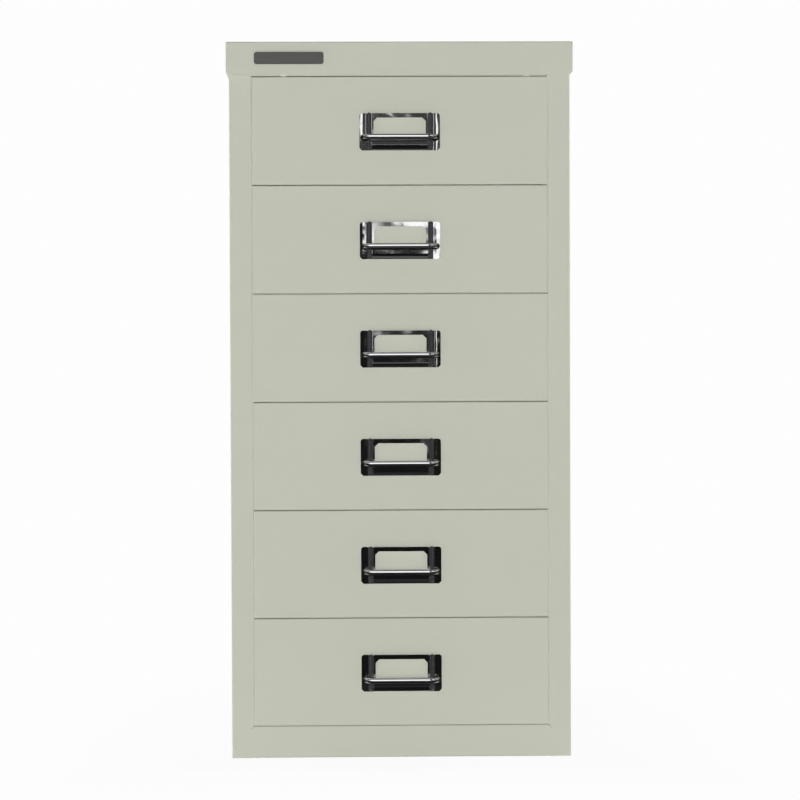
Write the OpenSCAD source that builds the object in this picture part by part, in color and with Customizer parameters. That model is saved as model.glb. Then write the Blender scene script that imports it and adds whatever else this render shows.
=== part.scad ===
// Six-drawer steel filing cabinet, folded and welded from thin sheet.
// Origin: middle of the footprint at floor level. +Z up, the drawer fronts face -Y.

/* [Carcass] */
// Width across the two side panels
body_w = 279.4; // [255:0.1:310]
// Height from the floor to the top of the cap
total_h = 590; // [540:1:680]
// Depth from the front of the cap to its rear
total_d = 380; // [340:1:420]
// Thickness of the carcass sheet
sheet_t = 0.9; // [0.8:0.05:1.1]
// Outside radius of the carcass bends
bend_r = 1.4; // [1.3:0.1:2.2]
// Width of each front stile
stile_w = 18.4; // [17:0.1:24]
// Height of the front rail under the drawers
rail_h = 26.1; // [20:0.1:36]
// Length of the rear flanges of the side panels
rear_flange = 14; // [10:0.5:16]

/* [Cap] */
// Height of the cap's skirt
cap_h = 27; // [20:0.5:36]
// How far the cap stands out past the front and the sides
cap_overhang = 2.5; // [1.8:0.1:4]
// Outside radius of the cap's upper edges
cap_r = 1.4; // [1.2:0.1:3]
// Strip of header rail that shows under the cap
header_drop = 1; // [0.5:0.1:3]

/* [Drawers] */
// Gap above each drawer front
front_gap = 0.5; // [0.4:0.1:2]
// Gap under the lowest drawer front
rail_gap = 0.2; // [0.2:0.1:2]
// Gap at each side of a drawer front
side_gap = 0.2; // [0.2:0.05:0.8]
// Depth of the folded drawer front
front_d = 13; // [11:0.5:16]
// Thickness of the drawer sheet
drawer_t = 0.8; // [0.7:0.05:1]
// Outside radius of the drawer front's edges
front_r = 1.1; // [1:0.1:2]
// Overlap of the front's rear lips on the tray that is welded to them
weld_lap = 6; // [4:0.5:10]
// Height of the tray's floor above the front's lower edge
tray_lift = 3; // [2:0.5:8]
// Drop from the front's upper edge to the tray's flanges
tray_drop = 9; // [7:0.5:14]
// Outside radius of the tray's lower edges
tray_r = 3; // [2:0.5:5]
// Gap between the tray and the back panel
tray_back_gap = 6.8; // [5.5:0.1:12]
// How far a drawer opens
travel = 260; // [200:5:270]

/* [Runners] */
// Depth of the runner channel, side to side
runner_w = 9; // [8:0.5:11]
// Thickness of the runner sheet
runner_t = 1; // [0.8:0.1:1.2]
// Height of the turned-down edge of the tray flanges
hem_h = 2.4; // [2:0.1:3.5]
// Running clearance under the tray flanges
slide_gap = 0.2; // [0.1:0.05:0.4]
// Clearance over the tray flanges
lift_gap = 0.8; // [0.5:0.1:1.2]
// Clearance between a tray wall and its runners
wall_gap = 1; // [0.6:0.1:1.5]

/* [Label plate] */
// Width of the label plate
plate_w = 66; // [62:0.5:70]
// Height of the label plate
plate_h = 30.4; // [27:0.1:34]
// Thickness of the label plate
plate_t = 1; // [0.8:0.1:1.2]
// Depth of the card pocket behind the plate
pocket_d = 1.4; // [1:0.1:1.8]
// Strip between the window and each bead
window_side = 1.6; // [1.5:0.1:4]
// Width of the bead's slope on the window's side
bead_fall = 2.1; // [1.4:0.1:2.4]
// Width of the bead's slope on the outer side
bead_slope = 2.1; // [1.6:0.1:2.6]
// Height of the window
window_h = 16; // [12:0.5:17]
// Width of the plate's strip above the window
window_margin = 3.6; // [3:0.1:5]
// Cut across the window's upper corners
window_chamfer = 2.9; // [1:0.1:4]
// Drop of the plate's middle below the front's middle
plate_drop = 1; // [0:0.1:3]

/* [Pull] */
// How far the pull stands out of the drawer front
pull_reach = 18; // [15:0.5:24]
// Radius of the pull's rod
pull_r = 2.4; // [2.3:0.1:2.6]
// Distance from the plate's side edge to the middle of the pull's leg
pull_inset = 3.1; // [2.8:0.1:3.6]
// Radius of the pull's bends, on the rod's middle line
pull_bend = 7; // [5:0.5:9]
// Drop of the pull below the plate's middle
pull_drop = 4.8; // [4:0.1:7]
// Radius of the threaded studs on the pull's legs
stud_r = 2; // [1.5:0.1:2]
// Width of the hexagon nuts across their flats
nut_w = 7; // [5.5:0.1:8]
// Thickness of the hexagon nuts
nut_t = 3.2; // [2:0.1:4]

/* [Feet and badge] */
// Height of the floor gap under the side panels
foot_h = 2; // [1.5:0.5:6]
// Radius of the plastic glide feet
foot_r = 10; // [7:0.5:14]
// Distance from the carcass faces to a foot's middle
foot_inset = 26; // [22:1:50]
// Width of the blank badge
badge_w = 57; // [40:1:80]
// Height of the blank badge
badge_h = 10; // [7:0.5:14]
// Thickness of the blank badge
badge_t = 1.4; // [1:0.1:2]
// Distance from the cap's left end to the badge's middle
badge_inset = 51.7; // [45:0.1:120]

/* [Hidden] */
DRAWERS = 6;

paint = [0.52, 0.53, 0.45];
chrome = [0.78, 0.79, 0.80];
zinc = [0.60, 0.61, 0.62];
black_plastic = [0.06, 0.06, 0.06];
gunmetal = [0.12, 0.12, 0.11];

past = 1;              // how far a cutting shape runs past the face that it opens
seat_gap = 0.2;        // gap between sheets that are only tacked together
bore_gap = 0.1;        // radial gap around studs, pins and stems
stop_gap = 0.5;        // gap at a drawer stop
close_gap = 0.3;       // gap between a closed drawer front and its runners
bend_steps = 5;        // facets in one bend
press_steps = 8;       // facets in one pressed curve of the label plate
rail_lip = 12;         // lower return of the front rail
header_return = 10;    // upturned rear edge of the header rail
base_flange = 16;      // upturned edges of the base panel

// Carcass planes
half_w = body_w / 2;
open_x = half_w - stile_w;
body_d = total_d - cap_overhang - sheet_t;
front_y = (pull_reach - body_d - sheet_t) / 2;
back_y = front_y + body_d;
top_z = total_h - sheet_t;
cap_x = half_w + cap_overhang;
cap_z = total_h - cap_h;
open_z1 = cap_z - header_drop;
open_z0 = foot_h + rail_h;
rail_z0 = foot_h;
base_z0 = rail_z0 + sheet_t;
return_d = front_d - stop_gap;
bend_in = bend_r - sheet_t;
panel_x = open_x + sheet_t;
back_in_y = back_y - 2 * sheet_t;

// Drawer planes; a drawer's own z is measured from the middle of its front
front_h = (open_z1 - open_z0 - rail_gap) / DRAWERS - front_gap;
pitch = front_h + front_gap;
front_x = open_x - side_gap;
tray_x = panel_x - runner_w - wall_gap;
tray_y0 = front_y + front_d;
tray_y1 = back_in_y - tray_back_gap;
tray_z0 = -front_h / 2 + tray_lift;
tray_z1 = front_h / 2 - tray_drop;
flange_in_r = 0.8;
stop_bite = 1.4;       // sideways overlap of a tray's ear and its stop
ear_gap = 0.6;         // sideways gap beside an ear or a stop
ear_l = 12;
stop_l = 8;
stop_inset = 3;        // from the runner's front end to the stop
web_x = panel_x - runner_t;
ear_x = web_x - ear_gap;
stop_x = ear_x - stop_bite;
flange_x = stop_x - ear_gap;
runner_y0 = tray_y0 + close_gap;
runner_y1 = back_in_y - tray_back_gap / 2;
stop_y1 = runner_y0 + stop_inset + stop_l;
ear_y0 = stop_y1 + stop_gap + travel;
floor_z = tray_z1 - hem_h - slide_gap;
roof_z = tray_z1 + lift_gap;
rear_roll = 4;         // turned-back top edge of the tray's rear wall

// Label plate and pull, measured from the middle of the plate
pull_x = plate_w / 2 - pull_inset;
pull_y = -(pull_reach - pull_r);
stud_l = plate_t + drawer_t + nut_t + 1;
bead_out = pull_x - pull_r - close_gap;
bead_top = bead_out - bead_slope;
bead_in = bead_top - bead_fall;
bead_rise = pocket_d + 0.8;
edge_turn = 4.6;       // height over which the pressing turns in to its lower edge
window_x = bead_in - window_side;
window_z1 = plate_h / 2 - window_margin;
window_z0 = window_z1 - window_h;
plate_corner_r = 2.2;
plate_corner_cut = 2;

// Header buffers and badge
buffer_x = [-94.9, 104.3];
buffer_w = 4.6;
buffer_l = 7;
buffer_gap = 0.15;
badge_pin_r = 1;
badge_corner_r = 2;
badge_rim = 0.9;
badge_recess = 0.4;
stem_r = 3;
stem_head_r = 3.8;
stem_head_h = 1.6;
foot_chamfer = 0.8;

// Middle height of the front of drawer i, counted from the top
function drawer_z(i) = open_z1 - front_gap - front_h / 2 - (i - 1) * pitch;

// ---- Plane geometry ----

function unit(v) = v / norm(v);
function left_of(v) = [-v[1], v[0]];
function cross2(a, b) = a[0] * b[1] - a[1] * b[0];
function reversed(p) = [for (i = [len(p) - 1:-1:0]) p[i]];

// Points on an arc about c from angle a0 to a1
function arc(c, r, a0, a1, n = bend_steps) =
    [for (k = [0:n]) let (a = a0 + (a1 - a0) * k / n) c + r * [cos(a), sin(a)]];

// The open line p, moved sideways by d to its left
function shifted(p, d) = [
    for (i = [0:len(p) - 1])
        let (
            before = left_of(unit(i > 0 ? p[i] - p[i - 1] : p[1] - p[0])),
            after = i < len(p) - 1 ? left_of(unit(p[i + 1] - p[i])) : before
        )
        p[i] + d * (before + after) / (1 + before * after)
];

// The open line p with its corners rounded, by lr at left turns and rr at right turns
function rounded(p, lr, rr) = [
    for (i = [0:len(p) - 1])
        if (i == 0 || i == len(p) - 1) p[i]
        else
            let (
                u = unit(p[i] - p[i - 1]),
                v = unit(p[i + 1] - p[i]),
                side = cross2(u, v) > 0 ? 1 : -1,
                r = side > 0 ? lr : rr,
                turn = acos(u * v),
                start = p[i] - u * r * tan(turn / 2),
                c = start + side * r * left_of(u),
                a = atan2(start[1] - c[1], start[0] - c[0])
            )
            each arc(c, r, a, a + side * turn)
];

// Outline of a sheet t thick, folded along the line p, which is its right-hand face
function folded(p, t, inner_r) = concat(
    rounded(p, inner_r + t, inner_r),
    reversed(rounded(shifted(p, t), inner_r, inner_r + t))
);

// Rectangle with its two lower corners rounded
function cup(x0, x1, z0, z1, r) = concat(
    [[x1, z1], [x0, z1]],
    arc([x0 + r, z0 + r], r, 180, 270),
    arc([x1 - r, z0 + r], r, 270, 360)
);

// Rectangle with four rounded corners
function round_rect(x0, x1, y0, y1, r) = concat(
    arc([x1 - r, y1 - r], r, 0, 90), arc([x0 + r, y1 - r], r, 90, 180),
    arc([x0 + r, y0 + r], r, 180, 270), arc([x1 - r, y0 + r], r, 270, 360)
);

// ---- Extrusions along the three axes ----

module along_x(x0, x1) {
    translate([x0, 0, 0]) rotate([90, 0, 90]) linear_extrude(x1 - x0) children();
}

module along_y(y0, y1) {
    translate([0, y1, 0]) rotate([90, 0, 0]) linear_extrude(y1 - y0) children();
}

module along_z(z0, z1) {
    translate([0, 0, z0]) linear_extrude(z1 - z0) children();
}

module block(low, high) {
    translate(low) cube(high - low);
}

// Pan folded up from one sheet, open at the top
module pan(x0, x1, y0, y1, z0, z1, t, r) {
    difference() {
        intersection() {
            along_y(y0, y1) polygon(cup(x0, x1, z0, z1, r));
            along_x(x0, x1) polygon(cup(y0, y1, z0, z1, r));
        }
        intersection() {
            along_y(y0, y1) polygon(cup(x0 + t, x1 - t, z0 + t, z1 + past, r - t));
            along_x(x0, x1) polygon(cup(y0 + t, y1 - t, z0 + t, z1 + past, r - t));
        }
    }
}

// ---- Carcass ----

// The drawer opening, flared at its front edge by the bend radius
module opening_flare() {
    intersection() {
        along_z(0, total_h + past) polygon(concat(
            [[-open_x - bend_r, front_y - past], [open_x + bend_r, front_y - past]],
            arc([open_x + bend_r, front_y + bend_r], bend_r, 270, 180),
            [[open_x, back_y], [-open_x, back_y]],
            arc([-open_x - bend_r, front_y + bend_r], bend_r, 0, -90)
        ));
        along_x(-half_w, half_w) polygon(concat(
            [[front_y - past, total_h + past], [front_y - past, open_z0 - bend_r]],
            arc([front_y + bend_r, open_z0 - bend_r], bend_r, 180, 90),
            [[back_y, open_z0], [back_y, total_h + past]]
        ));
    }
}

// What belongs to the bottom rail, with mitres where its rounded edge meets the stiles
module rail_region() {
    x = open_x + bend_r;
    along_y(front_y - past, back_y) polygon([
        [-x, 0], [x, 0], [x, open_z0 - bend_r], [open_x, open_z0],
        [-open_x, open_z0], [-x, open_z0 - bend_r]
    ]);
}

module left_side() {
    color(paint) {
        along_z(foot_h, top_z) polygon(folded([
            [-half_w + rear_flange, back_y], [-half_w, back_y],
            [-half_w, front_y], [-open_x - bend_r, front_y]
        ], sheet_t, bend_in));
        difference() {
            union() {
                block([-open_x - 2 * bend_r, front_y, open_z0 - bend_r],
                      [-open_x, front_y + sheet_t, top_z]);
                block([-panel_x, front_y, open_z0 - bend_r],
                      [-open_x, front_y + return_d, top_z]);
            }
            opening_flare();
            rail_region();
        }
    }
}

module right_side() {
    mirror([1, 0, 0]) left_side();
}

module bottom_rail() {
    x = open_x + bend_r;
    color(paint) {
        difference() {
            intersection() {
                union() {
                    block([-x, front_y, open_z0 - rail_h / 2 - past],
                          [x, front_y + sheet_t, open_z0]);
                    block([-x, front_y, open_z0 - sheet_t], [x, front_y + return_d, open_z0]);
                }
                rail_region();
            }
            opening_flare();
        }
        along_x(-x, x) polygon(folded([
            [front_y, open_z0 - rail_h / 2], [front_y, rail_z0],
            [front_y + rail_lip, rail_z0]
        ], sheet_t, bend_in));
    }
}

module header_rail() {
    color(paint) along_x(-open_x, open_x) polygon(folded([
        [front_y, top_z], [front_y, open_z1],
        [front_y + return_d, open_z1], [front_y + return_d, open_z1 + header_return]
    ], sheet_t, bend_in));
}

// Two half-round nibs that centre the upper edge of the top drawer
module header_buffers() {
    h = front_gap - buffer_gap;
    r = (pow(buffer_w / 2, 2) + h * h) / (2 * h);
    y0 = front_y + bend_r;
    color(paint) for (x = buffer_x)
        translate([x, y0, open_z1]) intersection() {
            translate([0, buffer_l, r - h]) rotate([90, 0, 0])
                cylinder(r = r, h = buffer_l, $fn = 64);
            block([-buffer_w, 0, -h - past], [buffer_w, buffer_l, 0]);
        }
}

module back_panel() {
    x = half_w - bend_r - seat_gap;
    color(paint) block([-x, back_in_y, foot_h], [x, back_y - sheet_t, top_z]);
}

module base_panel() {
    x = half_w - sheet_t;
    y0 = front_y + bend_r + seat_gap;
    rear_x = open_x - seat_gap;
    color(paint) difference() {
        union() {
            along_y(y0, back_in_y) polygon(folded([
                [-x, base_z0 + base_flange], [-x, base_z0],
                [x, base_z0], [x, base_z0 + base_flange]
            ], sheet_t, bend_in));
            along_x(-rear_x, rear_x) polygon(folded([
                [back_y - 2 * base_flange, base_z0], [back_in_y, base_z0],
                [back_in_y, base_z0 + base_flange]
            ], sheet_t, bend_in));
        }
        foot_places() cylinder(r = stem_r + bore_gap, h = 2 * (base_z0 + sheet_t), $fn = 48);
    }
}

// Inner panel that closes the side and carries the runners
module left_runner_panel() {
    color(paint) along_z(base_z0 + sheet_t, top_z) polygon(folded([
        [-panel_x, front_y + bend_r + seat_gap], [-panel_x, back_in_y],
        [-half_w + 2 * sheet_t + seat_gap, back_in_y]
    ], sheet_t, bend_in));
}

module right_runner_panel() {
    mirror([1, 0, 0]) left_runner_panel();
}

// Channel that a tray's flange slides in, with the stop near its front end
module runner_right(i) {
    translate([0, 0, drawer_z(i)]) color(paint) {
        along_y(runner_y0, runner_y1) polygon(folded([
            [panel_x - runner_w, floor_z - runner_t], [panel_x, floor_z - runner_t],
            [panel_x, roof_z + runner_t], [panel_x - runner_w, roof_z + runner_t]
        ], runner_t, runner_t / 4));
        block([stop_x, stop_y1 - stop_l, floor_z + slide_gap],
              [web_x + runner_t / 2, stop_y1, tray_z1]);
    }
}

module runner_left(i) {
    mirror([1, 0, 0]) runner_right(i);
}

// Shell of the cap: its outer faces, or its inner faces where t is the sheet's thickness
module cap_form(t, low) {
    lip_z = cap_z + (t > 0 ? t * sqrt(2) : 0);
    shoulder_z = cap_z + cap_overhang + t * (sqrt(2) - 1);
    r = cap_r - t;
    z = total_h - cap_r;
    intersection() {
        along_z(low, total_h) polygon(round_rect(
            -cap_x + t, cap_x - t, front_y - cap_overhang + t, back_y + sheet_t - t, r
        ));
        along_y(front_y - cap_overhang, back_y + sheet_t) polygon(concat(
            [[-half_w, low], [-half_w, lip_z], [-cap_x + t, shoulder_z]],
            arc([-cap_x + cap_r, z], r, 180, 90), arc([cap_x - cap_r, z], r, 90, 0),
            [[cap_x - t, shoulder_z], [half_w, lip_z], [half_w, low]]
        ));
        along_x(-cap_x, cap_x) polygon(concat(
            [[front_y, low], [front_y, cap_z + t], [front_y - cap_overhang + t, cap_z + t]],
            arc([front_y - cap_overhang + cap_r, z], r, 180, 90),
            arc([back_y + sheet_t - cap_r, z], r, 90, 0),
            [[back_y + sheet_t - t, low]]
        ));
    }
}

module top_cap() {
    color(paint) difference() {
        cap_form(0, cap_z);
        cap_form(sheet_t, cap_z - past);
        badge_pins(badge_pin_r + bore_gap);
    }
}

module foot_places() {
    for (x = [-half_w + foot_inset, half_w - foot_inset],
         y = [front_y + foot_inset, back_y - foot_inset])
        translate([x, y, 0]) children();
}

module glide_feet() {
    stem_z = base_z0 + sheet_t;
    color(black_plastic) foot_places() {
        cylinder(r1 = foot_r - foot_chamfer, r2 = foot_r, h = foot_chamfer, $fn = 64);
        translate([0, 0, foot_chamfer])
            cylinder(r = foot_r, h = base_z0 - foot_chamfer, $fn = 64);
        translate([0, 0, foot_chamfer])
            cylinder(r = stem_r, h = stem_z - foot_chamfer + stem_head_h / 4, $fn = 48);
        translate([0, 0, stem_z + bore_gap])
            cylinder(r1 = stem_head_r, r2 = stem_r - foot_chamfer, h = stem_head_h, $fn = 48);
    }
}

// ---- Badge ----

badge_x = -cap_x + badge_inset;
badge_z = total_h - cap_h / 2;

module badge_pins(r) {
    for (side = [-1, 1])
        translate([badge_x + side * badge_w / 4, front_y - cap_overhang + 2 * sheet_t, badge_z])
            rotate([90, 0, 0]) cylinder(r = r, h = 2 * sheet_t + badge_t / 2, $fn = 32);
}

function badge_outline(inset) = let (x = badge_w / 2 - inset, z = badge_h / 2 - inset)
    round_rect(-x, x, -z, z, badge_corner_r - inset);

// Plain plate with a raised rim and two pins through the cap
module badge_blank() {
    y = front_y - cap_overhang;
    color(gunmetal) {
        translate([badge_x, 0, badge_z]) difference() {
            along_y(y - badge_t, y) polygon(badge_outline(0));
            along_y(y - badge_t - past, y - badge_t + badge_recess)
                polygon(badge_outline(badge_rim));
        }
        badge_pins(badge_pin_r);
    }
}

// ---- Drawers, drawn with their front's middle at z = 0 ----

module stud_holes(r) {
    for (side = [-1, 1])
        translate([side * pull_x, front_y + front_d / 2, -plate_drop - pull_drop])
            rotate([90, 0, 0]) cylinder(r = r, h = front_d, $fn = 48);
}

module front_form() {
    difference() {
        union() {
            translate([0, front_y, 0]) rotate([-90, 0, 0])
                pan(-front_x, front_x, -front_h / 2, front_h / 2, 0, front_d, drawer_t, front_r);
            difference() {
                block([-front_x, tray_y0 - drawer_t, -front_h / 2],
                      [front_x, tray_y0, front_h / 2]);
                block([weld_lap - tray_x, front_y, tray_z0 + weld_lap],
                      [tray_x - weld_lap, back_y, tray_z1 - weld_lap]);
            }
        }
        stud_holes(stud_r + bore_gap);
    }
}

// Flange along the right side of a tray, turned out and down, with the ear for the stop
module tray_flange() {
    along_y(tray_y0, tray_y1) polygon(folded([
        [flange_x, tray_z1 - hem_h], [flange_x, tray_z1],
        [tray_x - drawer_t, tray_z1], [tray_x - drawer_t, tray_z1 - 2 * hem_h]
    ], drawer_t, flange_in_r));
    block([flange_x - drawer_t, ear_y0, tray_z1 - hem_h],
          [ear_x, ear_y0 + ear_l, tray_z1 - flange_in_r - drawer_t]);
}

module tray_form() {
    wall_z = tray_z1 - 1.5 * hem_h;
    end_x = tray_x - drawer_t / 2;
    pan(-tray_x, tray_x, tray_y0, tray_y1, tray_z0, wall_z, drawer_t, tray_r);
    tray_flange();
    mirror([1, 0, 0]) tray_flange();
    block([-end_x, tray_y0, wall_z - drawer_t], [end_x, tray_y0 + drawer_t, tray_z1]);
    along_x(-end_x, end_x) polygon(folded([
        [tray_y1 + rear_roll, tray_z1], [tray_y1 - drawer_t, tray_z1],
        [tray_y1 - drawer_t, wall_z - drawer_t]
    ], drawer_t, flange_in_r));
}

// How far the label plate stands off the drawer front at x
function rise(x) = let (a = abs(x))
    a >= bead_out ? 0
    : a >= bead_top ? bead_rise * (1 + cos(180 * (a - bead_top) / bead_slope)) / 2
    : a >= bead_in ? pocket_d + (bead_rise - pocket_d)
        * (1 - cos(180 * (a - bead_in) / bead_fall)) / 2
    : pocket_d;

// Places across the plate where its rise changes, from the left to the right
function bead_stations() = let (
    half = concat(
        [for (k = [0:press_steps]) bead_in + bead_fall * k / press_steps],
        [for (k = [1:press_steps]) bead_top + bead_slope * k / press_steps]
    )
) concat(reversed([for (a = half) -a]), half);

// Lower edge of the pressing, seen from the side: y0 in front of the drawer and z0 above its end
function turned_edge(y0, z0) = [for (k = [0:press_steps]) let (a = 90 * k / press_steps)
    [-y0 - bead_rise * cos(a), z0 + (edge_turn - z0) * (1 - sin(a)) - plate_h / 2]];

module plate_outline() {
    x = plate_w / 2;
    z = plate_h / 2;
    c = plate_corner_cut;
    r = plate_corner_r;
    polygon(concat(
        [[-x, c - z], [c - x, -z], [x - c, -z], [x, c - z]],
        arc([x - r, z - r], r, 0, 90), arc([r - x, z - r], r, 90, 180)
    ));
}

module plate_window() {
    x = window_x;
    c = window_chamfer;
    polygon([
        [-x, window_z0], [x, window_z0], [x, window_z1 - c],
        [x - c, window_z1], [c - x, window_z1], [-x, window_z1 - c]
    ]);
}

// Pressed plate with a card pocket that is open at the top and closed at the bottom
module label_form() {
    x = plate_w / 2;
    z = plate_h / 2;
    depth = plate_t + bead_rise;
    stations = bead_stations();
    translate([0, front_y, -plate_drop]) difference() {
        intersection() {
            along_z(-z, z) polygon(concat(
                [[-x, -plate_t]], [for (s = stations) [s, -plate_t - rise(s)]],
                [[x, -plate_t], [x, 0], [-x, 0]]
            ));
            along_x(-x, x) polygon(concat(
                [[0, -z], [0, z], [-depth, z]], turned_edge(plate_t, 0)
            ));
            along_y(-depth, 0) plate_outline();
        }
        intersection() {
            along_z(-z, z + past) polygon(concat(
                [for (s = stations) [s, -rise(s)]], [[bead_out, past], [-bead_out, past]]
            ));
            along_x(-x, x) polygon(concat(
                [[past, z + past], [-bead_rise, z + past]],
                turned_edge(0, plate_t), [[past, plate_t - z]]
            ));
        }
        along_y(-depth - past, past) plate_window();
        translate([0, -front_y, plate_drop]) stud_holes(stud_r + bore_gap);
    }
}

// Round rod bent into a bow, with a threaded stud on each leg
module pull_form() {
    elbow_x = pull_x - pull_bend;
    leg_l = -pull_y - pull_bend - plate_t;
    translate([0, front_y, -plate_drop - pull_drop]) {
        translate([-elbow_x, pull_y, 0]) rotate([0, 90, 0])
            cylinder(r = pull_r, h = 2 * elbow_x, $fn = 64);
        for (side = [0, 1]) mirror([side, 0, 0]) {
            translate([elbow_x, pull_y + pull_bend, 0]) rotate([0, 0, -90])
                rotate_extrude(angle = 90, $fn = 96)
                    translate([pull_bend, 0]) circle(r = pull_r, $fn = 64);
            translate([pull_x, -plate_t, 0]) rotate([90, 0, 0])
                cylinder(r = pull_r, h = leg_l, $fn = 64);
            translate([pull_x, stud_l - plate_t, 0]) rotate([90, 0, 0])
                cylinder(r = stud_r, h = stud_l, $fn = 48);
        }
    }
}

module nuts_form() {
    difference() {
        for (side = [-1, 1])
            translate([side * pull_x, front_y + drawer_t + nut_t, -plate_drop - pull_drop])
                rotate([90, 0, 0]) cylinder(r = nut_w / sqrt(3), h = nut_t, $fn = 6);
        stud_holes(stud_r + bore_gap / 2);
    }
}

module drawer_front(i) { translate([0, 0, drawer_z(i)]) color(paint) front_form(); }
module drawer_tray(i) { translate([0, 0, drawer_z(i)]) color(paint) tray_form(); }
module label_plate(i) { translate([0, 0, drawer_z(i)]) color(chrome) label_form(); }
module pull_bar(i) { translate([0, 0, drawer_z(i)]) color(chrome) pull_form(); }
module pull_nuts(i) { translate([0, 0, drawer_z(i)]) color(zinc) nuts_form(); }

top_cap();
left_side();
right_side();
back_panel();
base_panel();
bottom_rail();
header_rail();
header_buffers();
left_runner_panel();
right_runner_panel();
glide_feet();
badge_blank();
for (i = [1:DRAWERS]) {
    runner_left(i);
    runner_right(i);
    drawer_front(i);
    drawer_tray(i);
    label_plate(i);
    pull_bar(i);
    pull_nuts(i);
}
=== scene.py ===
import math

import bmesh
import bpy
from mathutils import Matrix, Vector


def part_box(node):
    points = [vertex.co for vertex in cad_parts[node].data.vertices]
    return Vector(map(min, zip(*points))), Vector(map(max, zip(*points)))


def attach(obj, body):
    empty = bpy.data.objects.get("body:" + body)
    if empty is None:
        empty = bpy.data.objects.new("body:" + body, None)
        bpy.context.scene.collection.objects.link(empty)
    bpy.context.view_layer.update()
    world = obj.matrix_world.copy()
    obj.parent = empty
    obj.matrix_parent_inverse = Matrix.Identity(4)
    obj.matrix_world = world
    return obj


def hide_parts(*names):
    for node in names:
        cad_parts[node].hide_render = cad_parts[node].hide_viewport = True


MM = 0.001
DRAWERS = range(1, 7)

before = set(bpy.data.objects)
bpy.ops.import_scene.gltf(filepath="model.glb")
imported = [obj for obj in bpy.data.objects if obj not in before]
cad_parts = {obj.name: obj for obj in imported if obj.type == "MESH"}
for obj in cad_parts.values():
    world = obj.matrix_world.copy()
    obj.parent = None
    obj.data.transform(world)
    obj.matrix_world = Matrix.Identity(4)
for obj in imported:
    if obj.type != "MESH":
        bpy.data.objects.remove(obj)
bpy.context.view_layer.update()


# ---- Measures that finishes and pieces share, in millimetres ----

FRONT_FROM = -178.0  # nearer than this lies the cabinet's front
OPENING_HALF_W, OPENING_LOW = 121.3, 28.1  # the opening that the drawers fill
MITRE_HALF_W, MITRE_LENGTH = 0.25, 2.0  # the joints at its lower corners

# a label plate, its window and its beads, from the plate's middle
PLATE_HALF_W, PLATE_HALF_H = 33.0, 15.2
WINDOW_X, WINDOW_LOW, WINDOW_HIGH = 21.4, -4.4, 11.6
WINDOW_CUT = 2.9  # taken off the window's upper corners
BEAD_IN, BEAD_TOP, BEAD_OUT = 23.0, 25.1, 27.2


# ---- Shader maths ----


class Wire:
    """A socket that plain arithmetic works on: each operator adds its Math node."""

    def __init__(self, finish, socket):
        self.finish, self.socket = finish, socket

    def maths(self, operation, *values):
        return self.finish.node("Math", {"operation": operation}, dict(enumerate(values)))

    def __add__(self, other):
        return self.maths("ADD", self, other)

    __radd__ = __add__

    def __mul__(self, other):
        return self.maths("MULTIPLY", self, other)

    __rmul__ = __mul__

    def __sub__(self, other):
        return self.maths("SUBTRACT", self, other)

    def __rsub__(self, other):
        return self.maths("SUBTRACT", other, self)

    def __abs__(self):
        return self.maths("ABSOLUTE", self)

    def at_least(self, other):
        """The greater of two values."""
        return self.maths("MAXIMUM", self, other)

    def ramp(self, edge, soft, start, end):
        return self.finish.node(
            "MapRange", {"interpolation_type": "SMOOTHSTEP"},
            {0: self, 1: edge, 2: edge + soft, 3: start, 4: end},
        )

    def below(self, edge, soft):
        """1 where the value is under edge, fading to 0 over soft."""
        return self.ramp(edge, soft, 1.0, 0.0)

    def above(self, edge, soft):
        """0 where the value is under edge, rising to 1 over soft."""
        return self.ramp(edge, soft, 0.0, 1.0)

    def between(self, start, rise, stop, fall):
        """0 up to start, rising to 1 over rise, and fading to 0 again over fall after stop."""
        return self.above(start, rise) * self.below(stop, fall)


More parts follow.
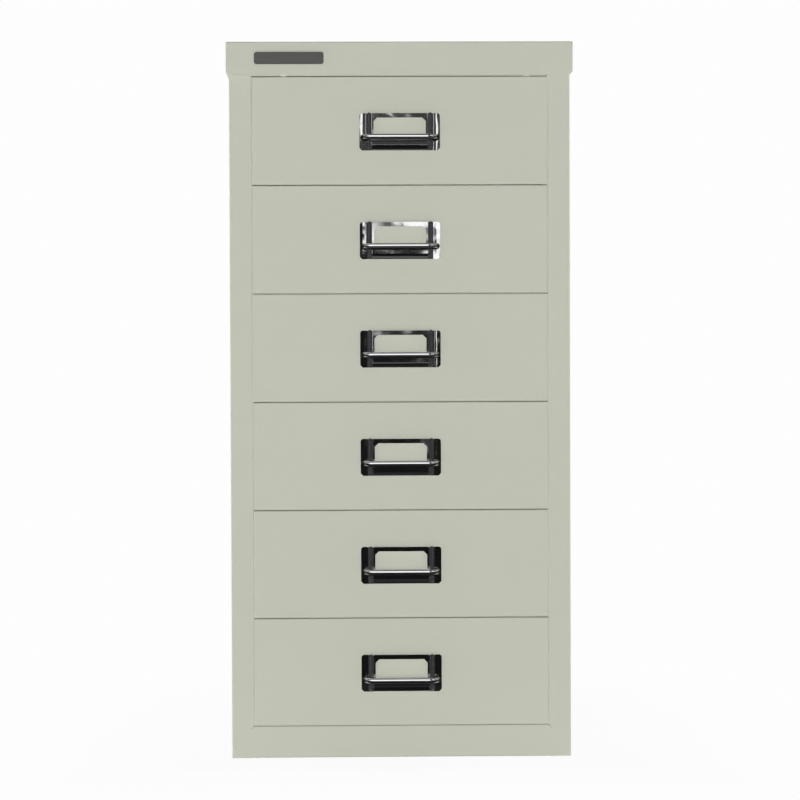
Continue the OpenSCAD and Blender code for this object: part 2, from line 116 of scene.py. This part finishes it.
class Finish:
    """A material, or the world, and the nodes that make it."""

    def __init__(self, name, owner=None):
        self.owner = owner or bpy.data.materials.new(name)
        self.owner.use_nodes = True
        self.tree = self.owner.node_tree
        self.tree.nodes.clear()

    def node(self, kind, settings=None, inputs=None, output=0):
        """Adds one node: its settings first, then the values or links of its sockets."""
        made = self.tree.nodes.new("ShaderNode" + kind)
        for name, value in (settings or {}).items():
            setattr(made, name, value)
        for name, value in (inputs or {}).items():
            if isinstance(value, Wire):
                self.tree.links.new(value.socket, made.inputs[name])
            else:
                made.inputs[name].default_value = value
        return Wire(self, made.outputs[output]) if made.outputs else None

    def at(self):
        """Object coordinates."""
        return self.node("TexCoord", output="Object")

    def parts(self, vector, axes):
        """The parts of a vector along the axes named, such as "XZ"."""
        return [self.node("SeparateXYZ", inputs={0: vector}, output=axis) for axis in axes]

    def millimetres(self, at, axes="XYZ"):
        """The object coordinates along the axes named, in millimetres."""
        return [part * 1000 for part in self.parts(at, axes)]

    def noise(self, at, scale, detail=2.0, roughness=0.5):
        return self.node("TexNoise", inputs={
            "Vector": at, "Scale": scale, "Detail": detail, "Roughness": roughness,
        })

    def blend(self, share, first, second):
        """first where share is 0, second where it is 1."""
        return self.node("Mix", {"data_type": "RGBA"}, {0: share, 6: first, 7: second}, 2)

    def bump(self, height, distance, strength=1.0, under=None):
        """Relief as high as distance, on top of the relief under it."""
        inputs = {"Height": height, "Distance": distance, "Strength": strength}
        if under is not None:
            inputs["Normal"] = under
        return self.node("Bump", inputs=inputs)

    def principled(self, **inputs):
        named = {name.replace("_", " "): value for name, value in inputs.items()}
        return self.node("BsdfPrincipled", inputs=named)

    def glow(self, level, colour):
        return self.node("Emission", inputs={"Color": colour, "Strength": level})

    def from_above(self, surface):
        """The surface seen from above, and nothing seen from below."""
        underside = self.node("NewGeometry", output="Backfacing")
        clear = self.node("BsdfTransparent")
        return self.node("MixShader", inputs={0: underside, 1: surface, 2: clear})

    def finished(self, surface, world=False):
        self.node("OutputWorld" if world else "OutputMaterial", inputs={"Surface": surface})
        return self.owner


def shade(red, green=None, blue=None):
    """An opaque linear colour, grey where only one number is given."""
    return (red, red if green is None else green, red if blue is None else blue, 1.0)


# ---- Finishes ----

PAINT_DEEP, PAINT_LIGHT = shade(0.513, 0.525, 0.443), shade(0.529, 0.541, 0.459)
# painted light: the paler paint inside the label windows
PAINT_LIT_IN_WINDOWS = shade(0.560, 0.573, 0.485)
PAINT_IN_MITRES = shade(0.16, 0.165, 0.14)
CHROME = shade(0.60, 0.605, 0.61)
CHROME_EDGEWISE = shade(0.25)
# painted shade over the label plates' beads
CHROME_SHADED_ON_BEADS = shade(0.11, 0.111, 0.114)
# painted shade on the rods' undersides and sideways ends
CHROME_SHADED_UNDER_AND_ENDS = shade(0.055, 0.056, 0.058)
ZINC_DEEP, ZINC_LIGHT = shade(0.50, 0.51, 0.52), shade(0.70, 0.70, 0.68)
PLASTIC_DEEP, PLASTIC_LIGHT = shade(0.022), shade(0.034)
NYLON_DEEP, NYLON_LIGHT = shade(0.575, 0.588, 0.505), shade(0.610, 0.623, 0.540)
BADGE_DEEP, BADGE_LIGHT = shade(0.105, 0.106, 0.10), shade(0.160, 0.161, 0.152)


def window_middle(number):
    """Height of the middle of one label plate's window, in millimetres."""
    low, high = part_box(f"label_plate_{number}")
    return (low.z + high.z) / 2 / MM + (WINDOW_LOW + WINDOW_HIGH) / 2


def powder_coat():
    """Grey-beige powder coat: a fine orange peel and the least drift in tone. The mitred joints
    at the lower corners of the drawer opening show through it, and it is painted paler inside
    the label windows, painted light that cancels the shade the plates cast into their recesses."""
    f = Finish("powder_coat")
    at = f.at()
    x, y, z = f.millimetres(at)
    peel = f.noise(at, scale=620, detail=2.0, roughness=0.45)
    drift = f.noise(at, scale=7, detail=3.0, roughness=0.6)
    cloud = f.noise(at, scale=60)
    front = y.below(FRONT_FROM, 1.0)

    past_corner = abs(x) - OPENING_HALF_W
    mitre = abs(past_corner + z - OPENING_LOW).below(MITRE_HALF_W, 0.4) * front
    mitre = mitre * past_corner.between(-0.1, 0.2, MITRE_LENGTH, 0.5)

    # Painted light: paler paint inside the windows cancels the shade the plates cast into their
    # recesses.
    inset, fade = 0.1, 0.3  # how the paler tone ends at a window's edge
    half_height = (WINDOW_HIGH - WINDOW_LOW) / 2 - inset
    heights = sum(abs(z - window_middle(n)).below(half_height, fade) for n in DRAWERS)
    painted_window_light = heights * abs(x).below(WINDOW_X - inset, fade) * front

    tone = f.blend(drift, PAINT_DEEP, PAINT_LIGHT)
    tone = f.blend(painted_window_light, tone, PAINT_LIT_IN_WINDOWS)
    return f.finished(f.principled(
        Base_Color=f.blend(0.6 * mitre, tone, PAINT_IN_MITRES),
        Roughness=0.44 + 0.05 * cloud,
        Normal=f.bump(peel, 0.04 * MM, 0.5, under=f.bump(drift, 0.6 * MM, 0.3)),
    ))


def bright_chrome():
    """Chromed pressings: a mirror with the slow waves of a press tool and shallow dents on the
    side flanges, and painted shade over the beads, where the chrome is darker, less metallic and
    rougher."""
    f = Finish("bright_chrome")
    at = f.at()
    (x,) = f.millimetres(at, "X")
    waves = f.noise(at, scale=42, detail=1.0, roughness=0.4)
    haze = f.noise(at, scale=400, detail=3.0, roughness=0.6)
    # Painted shade: over the beads the chrome is darker, less metallic and rougher, standing in
    # for their dark reflections.
    bead = abs(x).between(BEAD_IN - 0.3, 0.6, BEAD_OUT - 0.2, 0.3)
    flange = abs(x).above(BEAD_OUT + 0.2, 3.0)
    dents = f.noise(at, scale=80, detail=1.0, roughness=0.4) * flange
    return f.finished(f.principled(
        Base_Color=f.blend(0.93 * bead, CHROME, CHROME_SHADED_ON_BEADS),
        Specular_Tint=CHROME_EDGEWISE,
        Metallic=1.0 - 0.25 * bead,
        Roughness=0.02 + 0.04 * haze + 0.12 * bead,
        Normal=f.bump(waves + 0.4 * dents, 0.2 * MM),
    ))


def rod_chrome():
    """The pulls' polished rod, truer than the pressings, with painted shade underneath and at the
    bends, where it is darker and rougher.
    """
    f = Finish("rod_chrome")
    at = f.at()
    waves = f.noise(at, scale=60, detail=1.0, roughness=0.4)
    haze = f.noise(at, scale=500, detail=3.0, roughness=0.6)
    sideways, upwards = f.parts(f.node("NewGeometry", output="Normal"), "XZ")
    # Painted shade: where the rod faces down or sideways it is darker and rougher, which hides the
    # paint it would reflect.
    shaded_under_and_ends = upwards.below(-0.70, 0.15).at_least(abs(sideways).above(0.55, 0.25))
    return f.finished(f.principled(
        Base_Color=f.blend(shaded_under_and_ends, CHROME, CHROME_SHADED_UNDER_AND_ENDS),
        Specular_Tint=CHROME_EDGEWISE,
        Metallic=1.0,
        Roughness=0.02 + 0.04 * haze + 0.28 * shaded_under_and_ends,
        Normal=f.bump(waves, 0.12 * MM),
    ))


def zinc_plate():
    """Zinc-plated hexagon nuts with a dull, mottled bloom."""
    f = Finish("zinc_plate")
    bloom = f.noise(f.at(), scale=260, detail=4.0, roughness=0.6)
    return f.finished(f.principled(
        Base_Color=f.blend(bloom, ZINC_DEEP, ZINC_LIGHT),
        Metallic=1.0,
        Roughness=0.30 + 0.16 * bloom,
        Normal=f.bump(bloom, 0.05 * MM, 0.6),
    ))


def moulded_black():
    """Black moulded plastic of the glide feet."""
    f = Finish("moulded_black")
    at = f.at()
    grain = f.noise(at, scale=900, detail=3.0, roughness=0.6)
    scuff = f.noise(at, scale=120, detail=3.0, roughness=0.6)
    return f.finished(f.principled(
        Base_Color=f.blend(scuff, PLASTIC_DEEP, PLASTIC_LIGHT),
        Roughness=0.52 + 0.14 * scuff,
        Normal=f.bump(grain, 0.06 * MM, 0.6),
    ))


def pale_nylon():
    """Pale nylon of the nibs that centre the top drawer, with a faint moulded grain."""
    f = Finish("pale_nylon")
    grain = f.noise(f.at(), scale=700)
    return f.finished(f.principled(
        Base_Color=f.blend(grain, NYLON_DEEP, NYLON_LIGHT),
        Roughness=0.46 + 0.10 * grain,
        Normal=f.bump(grain, 0.03 * MM, 0.5),
    ))


def dark_badge():
    """Gunmetal plate with a fine brushed grain along its length."""
    f = Finish("dark_badge")
    along = f.node("Mapping", inputs={"Vector": f.at(), "Scale": (60.0, 1.0, 2600.0)})
    strokes = f.noise(along, scale=1.0)
    return f.finished(f.principled(
        Base_Color=f.blend(strokes, BADGE_DEEP, BADGE_LIGHT),
        Metallic=0.75,
        Roughness=0.34 + 0.14 * strokes,
        Normal=f.bump(strokes, 0.03 * MM, 0.5),
    ))


FINISH_OF_SLOT = {
    "paint": powder_coat(),
    "chrome": rod_chrome(),
    "zinc": zinc_plate(),
    "foot_plastic": moulded_black(),
    "badge_metal": dark_badge(),
}
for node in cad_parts.values():
    for slot in node.material_slots:
        slot.material = FINISH_OF_SLOT[slot.material.name.split(".")[0]]


# ---- Pieces ----


def as_object(bm, name, finish, smooth=True):
    """The object that shows a bmesh, in one finish."""
    for face in bm.faces:
        face.smooth = smooth
    mesh = bpy.data.meshes.new(name)
    bm.to_mesh(mesh)
    bm.free()
    mesh.materials.append(finish)
    made = bpy.data.objects.new(name, mesh)
    bpy.context.scene.collection.objects.link(made)
    return made


# ---- Label plates, in millimetres from each plate's middle ----

PLATE_THICK = 1.0  # from the drawer front to the flanges' face
WALL_THICK = 0.9  # the sheet itself
POCKET, BEAD_RISE = 1.4, 2.2  # how far the card pocket and the beads stand out from there
FLANGE_CROWN = 0.16  # how far the side flanges bow back towards their edges
EDGE_TURN, TURN_POWER = 4.6, 1.5  # height of the turned lower edge, and how full its curve is
LOWER_CUT = 2.0  # taken off the plate's lower corners
CORNER_R, CORNER_CUTS = 2.4, (11, 34, 56, 79)  # upper corners, and the angles that round them
CREEP, CREEP_WAVE, CREEP_REACH = 0.6, 2.3, 2.5  # the upper edge's waves over the beads
EDGE_ROUND = 0.22  # the rounding of the sheet's own edges
FLAT_LINE = 9.0  # where the flat middle carries one more line
BEAD_FOOT, TURN_FOOT = 0.6, 0.08  # flat strips beside the beads and over the turned edge


def swell(x):
    """How far the pressing stands out from the flanges' face at x, above its turned edge."""
    x = abs(x)
    if x >= BEAD_OUT:
        return -FLANGE_CROWN * ((x - BEAD_OUT) / (PLATE_HALF_W - BEAD_OUT)) ** 2
    if x >= BEAD_TOP:
        return BEAD_RISE * (1 + math.cos(math.pi * (x - BEAD_TOP) / (BEAD_OUT - BEAD_TOP))) / 2
    if x >= BEAD_IN:
        climbed = (1 - math.cos(math.pi * (x - BEAD_IN) / (BEAD_TOP - BEAD_IN))) / 2
        return POCKET + (BEAD_RISE - POCKET) * climbed
    return POCKET


def face_depth(x, z):
    """Depth of the plate's face in front of the drawer: it turns in towards its lower edge."""
    turned = min(max(EDGE_TURN - PLATE_HALF_H - z, 0.0) / EDGE_TURN, 1.0)
    rise = swell(x)
    if rise > 0:
        rise *= (1 - turned ** TURN_POWER) ** (1 / TURN_POWER)
    return PLATE_THICK + rise


def creep(x):
    """How far the pressing's upper edge has crept up over a bead, and down at its foot."""
    off = abs(x) - BEAD_TOP
    return CREEP * math.cos(math.pi * off / CREEP_WAVE) * math.exp(-((off / CREEP_REACH) ** 2))


def spaced(start, stop, count):
    """Even steps from start to stop, without start itself."""
    return [start + (stop - start) * k / count for k in range(1, count + 1)]


def plate_columns():
    """Where the pressing's upright lines lie: close together over the beads."""
    half = [0.0, FLAT_LINE, WINDOW_X - WINDOW_CUT, WINDOW_X, BEAD_IN - BEAD_FOOT, BEAD_IN]
    half += spaced(BEAD_IN, BEAD_TOP, 10) + spaced(BEAD_TOP, BEAD_OUT, 12)
    half += spaced(BEAD_OUT, PLATE_HALF_W, 6)
    return [-x for x in reversed(half[1:])] + half


def plate_rows():
    """Where its level lines lie, from the top: close together round the turned lower edge."""
    flat = [PLATE_HALF_H, WINDOW_HIGH, WINDOW_HIGH - WINDOW_CUT, WINDOW_LOW, -FLAT_LINE]
    flat += [-PLATE_HALF_H + EDGE_TURN + TURN_FOOT]
    angles = [0, 1.5] + spaced(0, 90, 14)
    return flat + [
        -PLATE_HALF_H + EDGE_TURN * (1 - math.sin(math.radians(angle))) for angle in angles
    ]


def pressed_sheet():
    """The pressing's face as one sheet, with no window yet and square corners."""
    columns, rows = plate_columns(), plate_rows()
    across, down = len(columns) - 1, len(rows) - 1
    bm = bmesh.new()
    bmesh.ops.create_grid(bm, x_segments=across, y_segments=down, size=1.0)
    for vert in bm.verts:
        column = round((vert.co.x + 1) / 2 * across)
        row = round((1 - vert.co.y) / 2 * down)
        x, z = columns[column], rows[row]
        vert.co = Vector((x, -face_depth(x, z), z + (creep(x) if row == 0 else 0)))
    return bm


def in_window(face):
    """Whether a face of the pressing lies inside the window's outline."""
    middle = face.calc_center_median()
    inside_cut = WINDOW_X + WINDOW_HIGH - WINDOW_CUT
    return (
        abs(middle.x) + max(middle.z, 0) < inside_cut
        and abs(middle.x) < WINDOW_X
        and WINDOW_LOW < middle.z < WINDOW_HIGH
    )


def open_window(bm):
    """Cuts the window out, with its two upper corners cut across."""

    def vert_at(x, z):
        return min(bm.verts, key=lambda v: abs(v.co.x - x) + abs(v.co.z - z))

    for side in (-1, 1):
        bmesh.ops.connect_verts(bm, verts=[
            vert_at(side * (WINDOW_X - WINDOW_CUT), WINDOW_HIGH),
            vert_at(side * WINDOW_X, WINDOW_HIGH - WINDOW_CUT),
        ])
    bmesh.ops.delete(bm, geom=[f for f in bm.faces if in_window(f)], context="FACES")


def trim(bm, place, outwards):
    """Cuts off what lies beyond a plane."""
    bmesh.ops.bisect_plane(
        bm, geom=bm.verts[:] + bm.edges[:] + bm.faces[:], clear_outer=True,
        plane_co=place, plane_no=outwards,
    )


def trim_corners(bm):
    """Cuts the lower corners across and rounds the upper ones."""
    for side in (-1, 1):
        trim(bm, (side * (PLATE_HALF_W - LOWER_CUT), 0, -PLATE_HALF_H), (side, 0, -1))
    for side in (-1, 1):
        for angle in CORNER_CUTS:
            out, up = side * math.cos(math.radians(angle)), math.sin(math.radians(angle))
            place = (
                side * (PLATE_HALF_W - CORNER_R) + CORNER_R * out,
                0,
                PLATE_HALF_H - CORNER_R + CORNER_R * up,
            )
            trim(bm, place, (out, 0, up))


def face_forwards(bm):
    """Turns an open sheet's faces towards the front."""
    bmesh.ops.recalc_face_normals(bm, faces=bm.faces)
    if sum(face.normal.y * face.calc_area() for face in bm.faces) > 0:
        bmesh.ops.reverse_faces(bm, faces=bm.faces)


def pressed_plate(number, finish):
    """One chromed label plate: a card pocket with a window, and a bead at each side."""
    low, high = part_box(f"label_plate_{number}")
    bm = pressed_sheet()
    open_window(bm)
    trim_corners(bm)
    face_forwards(bm)
    place = Matrix.Translation((0, high.y, (low.z + high.z) / 2)) @ Matrix.Scale(MM, 4)
    bmesh.ops.transform(bm, verts=bm.verts, matrix=place)
    plate = as_object(bm, f"pressed_plate_{number}", finish)
    wall = plate.modifiers.new("wall", "SOLIDIFY")
    wall.thickness, wall.offset, wall.use_even_offset = WALL_THICK * MM, -1, True
    edges = plate.modifiers.new("edges", "BEVEL")
    edges.width, edges.segments = EDGE_ROUND * MM, 2
    edges.limit_method, edges.angle_limit = "ANGLE", math.radians(50)
    edges.harden_normals = True
    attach(plate, f"drawer_{number}")
    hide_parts(f"label_plate_{number}")


pressed = bright_chrome()
for number in DRAWERS:
    pressed_plate(number, pressed)


# ---- Nibs over the top drawer, in millimetres ----

NIB_HALF_W, NIB_HALF_H, NIB_DEPTH = 2.7, 0.7, 1.4
NIB_INSET = 2.3  # from each end of the header's buffers to a nib's middle
NIB_LIFT = 0.25  # from the buffers' top to a nib's middle
NIB_ROUND, SHARP = 0.12, math.radians(60)  # the bevel, and the angle that makes an edge sharp


def nib_tips():
    """The two nibs' front ends, flat discs that fill the header's bend over the top drawer."""
    low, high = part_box("header_buffers")
    y, z = low.y - NIB_DEPTH / 2 * MM, high.z + NIB_LIFT * MM
    turned = Matrix.Rotation(math.pi / 2, 4, "X")
    flattened = Matrix.Scale(MM, 4) @ Matrix.Diagonal((NIB_HALF_W, 1, NIB_HALF_H, 1)) @ turned
    bm = bmesh.new()
    for x in (low.x + NIB_INSET * MM, high.x - NIB_INSET * MM):
        bmesh.ops.create_cone(
            bm, cap_ends=True, segments=48, radius1=1, radius2=1, depth=NIB_DEPTH,
            matrix=Matrix.Translation((x, y, z)) @ flattened,
        )
    rims = [e for e in bm.edges if e.is_manifold and e.calc_face_angle() > SHARP]
    bmesh.ops.bevel(
        bm, geom=rims, offset=NIB_ROUND * MM, segments=3, profile=0.5, affect="EDGES",
        material=-1,
    )
    bmesh.ops.recalc_face_normals(bm, faces=bm.faces)
    tips = as_object(bm, "nib_tips", pale_nylon())
    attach(tips, "carcass")


nib_tips()


# ---- Studio: its sizes and places are in metres, its patterns in millimetres ----

BACKDROP = shade(0.985)
LAMP_WHITE = shade(1.0)
WORLD_FILL = 0.09
CARD_WHITE, SILK_GAP = 1.65, 0.02  # how bright the cards' white parts and the silks' gap are
SILK_LEFT = (-2700, 300, 150, 200)  # where the left silk starts and ends along x
CABINET_HALF_W, CABINET_HALF_D, SHADOW_REACH = 140, 190, 220


def seen_directly(f):
    """1 for the camera, for reflections and for what shows through glass."""
    camera, glossy, through = (
        f.node("LightPath", output=f"Is {kind} Ray")
        for kind in ("Camera", "Glossy", "Transmission")
    )
    return camera.at_least(glossy).at_least(through)


def studio_world(strength):
    """Even light from all round, and a white backdrop for the camera and for mirrors."""
    f = Finish("studio_world", bpy.data.worlds.new("studio_world"))
    fill = f.node("Background", inputs={"Color": LAMP_WHITE, "Strength": strength})
    backdrop = f.node("Background", inputs={"Color": BACKDROP, "Strength": 1.0})
    mixed = f.node("MixShader", inputs={0: seen_directly(f), 1: fill, 2: backdrop})
    return f.finished(mixed, world=True)


def floor_white():
    """Pale floor that keeps the shadow close to the cabinet and meets the backdrop further out."""
    f = Finish("floor_white")
    x, y = f.millimetres(f.at(), "XY")
    away = (abs(x) - CABINET_HALF_W).at_least(abs(y) - CABINET_HALF_D)
    paper = f.node("BsdfDiffuse", inputs={"Color": shade(0.90)})
    share = seen_directly(f) * (0.95 + 0.05 * away.above(0, SHADOW_REACH))
    lit = f.node("MixShader", inputs={0: share, 1: paper, 2: f.glow(1.0, BACKDROP)})
    return f.finished(f.from_above(lit))


def front_flag():
    """What the chrome faces: black low down with three short streaks, a bright band at the
    height of the cabinet's top with a bright upright across it on the right, dark grey above
    the band with two bright patches, and a white silk over its left half."""
    f = Finish("front_flag")
    x, z = f.millimetres(f.at(), "XZ")
    band = z.between(508, 10, 590, 20) * x.between(-260, 60, 900, 200)
    band = band * (1 - x.between(70, 10, 88, 10) * z.below(533, 4))
    upright = x.between(230, 50, 440, 60) * z.between(300, 260, 1000, 30)
    upright = upright * (1 - x.above(365, 60) * z.above(640, 30))
    left_patch = x.between(-340, 80, -205, 50) * z.above(690, 25)
    middle_patch = x.between(25, 12, 55, 12) * z.above(738, 8)
    streaks = (
        x.between(158, 10, 240, 12) * z.between(262, 14, 400, 40)
        + x.between(35, 15, 80, 25) * z.between(326, 5, 345, 10) * 0.4
        + x.between(122, 8, 172, 8) * z.between(122, 5, 150, 10)
    )
    silk = z.above(860, 30) * x.between(*SILK_LEFT)
    bright = band
    for other in (upright, left_patch, middle_patch, streaks, silk):
        bright = bright.at_least(other)
    dark = 0.013 + 0.05 * z.above(575, 30)
    return f.finished(f.glow(dark + CARD_WHITE * bright, LAMP_WHITE))


def dark_flag():
    """Black beside the cabinet, white along its upper edge."""
    f = Finish("dark_flag")
    at = f.at()
    (z,) = f.millimetres(at, "Z")
    level = 0.006 + 0.03 * f.noise(at, scale=1.1) + 1.2 * z.above(1650, 150)
    return f.finished(f.glow(level, LAMP_WHITE))


def floor_flag():
    """Black, and a little lighter in a strip in front of the cabinet."""
    f = Finish("floor_flag")
    (y,) = f.millimetres(f.at(), "Y")
    return f.finished(f.glow(0.011 + 0.026 * y.between(-780, 300, -400, 130), LAMP_WHITE))


def top_silk():
    """Two white sheets over the front of the studio, black between them and further back."""
    f = Finish("top_silk")
    x, y = f.millimetres(f.at(), "XY")
    sheets = x.between(*SILK_LEFT).at_least(x.between(900, 150, 2300, 300))
    bright = y.below(-1350, 150) * sheets
    return f.finished(f.glow(SILK_GAP + (CARD_WHITE - SILK_GAP) * bright, LAMP_WHITE))


def shelf_grey():
    """Dull grey seen from above, nothing from below."""
    f = Finish("shelf_grey")
    return f.finished(f.from_above(f.glow(0.15, LAMP_WHITE)))


def flat_card(name, width, depth, place, turn, finish):
    """A flat sheet for the studio, facing +Z before its turn."""
    bm = bmesh.new()
    bmesh.ops.create_grid(bm, x_segments=1, y_segments=1, size=0.5)
    matrix = Matrix.Translation(place) @ turn @ Matrix.Diagonal((width, depth, 1, 1))
    bmesh.ops.transform(bm, verts=bm.verts, matrix=matrix)
    card = as_object(bm, name, finish, smooth=False)
    return card


def mirrors_only(card):
    """The card shows in reflections, and neither lights the cabinet nor shades it."""
    card.visible_camera = card.visible_diffuse = False
    card.visible_shadow = card.visible_transmission = False


def softbox(name, size, place, aim, power, mirrored=True, shadows=True):
    """A rectangular lamp, which the camera never sees and mirrors see only if it is mirrored."""
    light = bpy.data.lights.new(name, "AREA")
    light.shape, light.energy, light.use_shadow = "RECTANGLE", power, shadows
    light.size, light.size_y = size
    lamp = bpy.data.objects.new(name, light)
    scene.collection.objects.link(lamp)
    lamp.location = place
    lamp.rotation_euler = (Vector(aim) - Vector(place)).to_track_quat("-Z", "Y").to_euler()
    lamp.visible_camera, lamp.visible_glossy = False, mirrored


scene = bpy.context.scene
scene.world = studio_world(WORLD_FILL)

lying = Matrix.Identity(4)
across = Matrix.Rotation(math.radians(90), 4, "X")
beside = Matrix.Rotation(math.radians(90), 4, "Z") @ across
flat_card("studio_floor", 60.0, 60.0, (0, 0, 0), lying, floor_white())
side_black = dark_flag()
for card in (
    ("front_flag", 6.0, 2.3, (0, -3.5, 1.15), across, front_flag()),
    ("left_flag", 4.6, 2.3, (-3.0, -1.2, 1.15), beside, side_black),
    ("right_flag", 4.6, 2.3, (3.0, -1.2, 1.15), beside, side_black),
    ("floor_flag", 6.0, 3.3, (0, -1.85, 0.002), lying, floor_flag()),
    ("top_silk", 6.0, 4.6, (0, -1.2, 2.3), lying, top_silk()),
    ("shelf_card", 1.6, 0.14, (0, -0.37, 0.285), lying, shelf_grey()),
):
    mirrors_only(flat_card(*card))

MIDDLE, FRONT_MIDDLE = (0, 0, 0.3), (0, -0.18, 0.3)
softbox("front_softbox", (0.5, 0.2), (-0.062, -2.75, 0.37), MIDDLE, 25.9, mirrored=False)
softbox("foot_fill", (1.2, 0.04), (0, -0.47, 0.006), (0, -0.18, 0.05), 0.06, mirrored=False)
softbox("rail_fill", (0.4, 0.004), (0, -0.26, 0.004), (0, -0.18, 0.006), 0.016, mirrored=False)
softbox("top_softbox", (2.6, 2.0), (-0.2, 0.5, 3.0), (0, 0.1, 0.3), 30)
for side in (-1, 1):
    softbox(
        "edge_strip", (0.5, 1.2), (side * 2.3, -0.9, 0.4), FRONT_MIDDLE, 24,
        mirrored=False, shadows=False,
    )
softbox("left_softbox", (2.4, 2.4), (-2.6, 1.9, 1.3), MIDDLE, 44)
softbox("right_softbox", (2.4, 2.4), (2.6, 1.9, 1.3), MIDDLE, 44)


# ---- Camera ----

FRONT_Y, DISTANCE = -0.17975, 2.5
EYE = (-0.06205, FRONT_Y - DISTANCE, 0.37067)
YAW, PITCH, ROLL = (math.radians(angle) for angle in (1.41, 1.70, -0.216))
FOCAL_PIXELS, IMAGE_PIXELS, SENSOR_MM = 3045, 800, 36

ahead = Vector((
    math.sin(YAW) * math.cos(PITCH), math.cos(YAW) * math.cos(PITCH), -math.sin(PITCH)
))
sidewards = Vector((math.cos(YAW), -math.sin(YAW), 0))
upward = sidewards.cross(ahead)
right = sidewards * math.cos(ROLL) + upward * math.sin(ROLL)
top = upward * math.cos(ROLL) - sidewards * math.sin(ROLL)

lens = bpy.data.cameras.new("camera")
lens.sensor_width = SENSOR_MM
lens.lens = FOCAL_PIXELS * SENSOR_MM / IMAGE_PIXELS
lens.clip_end = 200
camera = bpy.data.objects.new("camera", lens)
scene.collection.objects.link(camera)
turn = Matrix((right, top, -ahead)).transposed().to_4x4()
camera.matrix_world = Matrix.Translation(EYE) @ turn
scene.camera = camera

scene.view_settings.view_transform = "Standard"
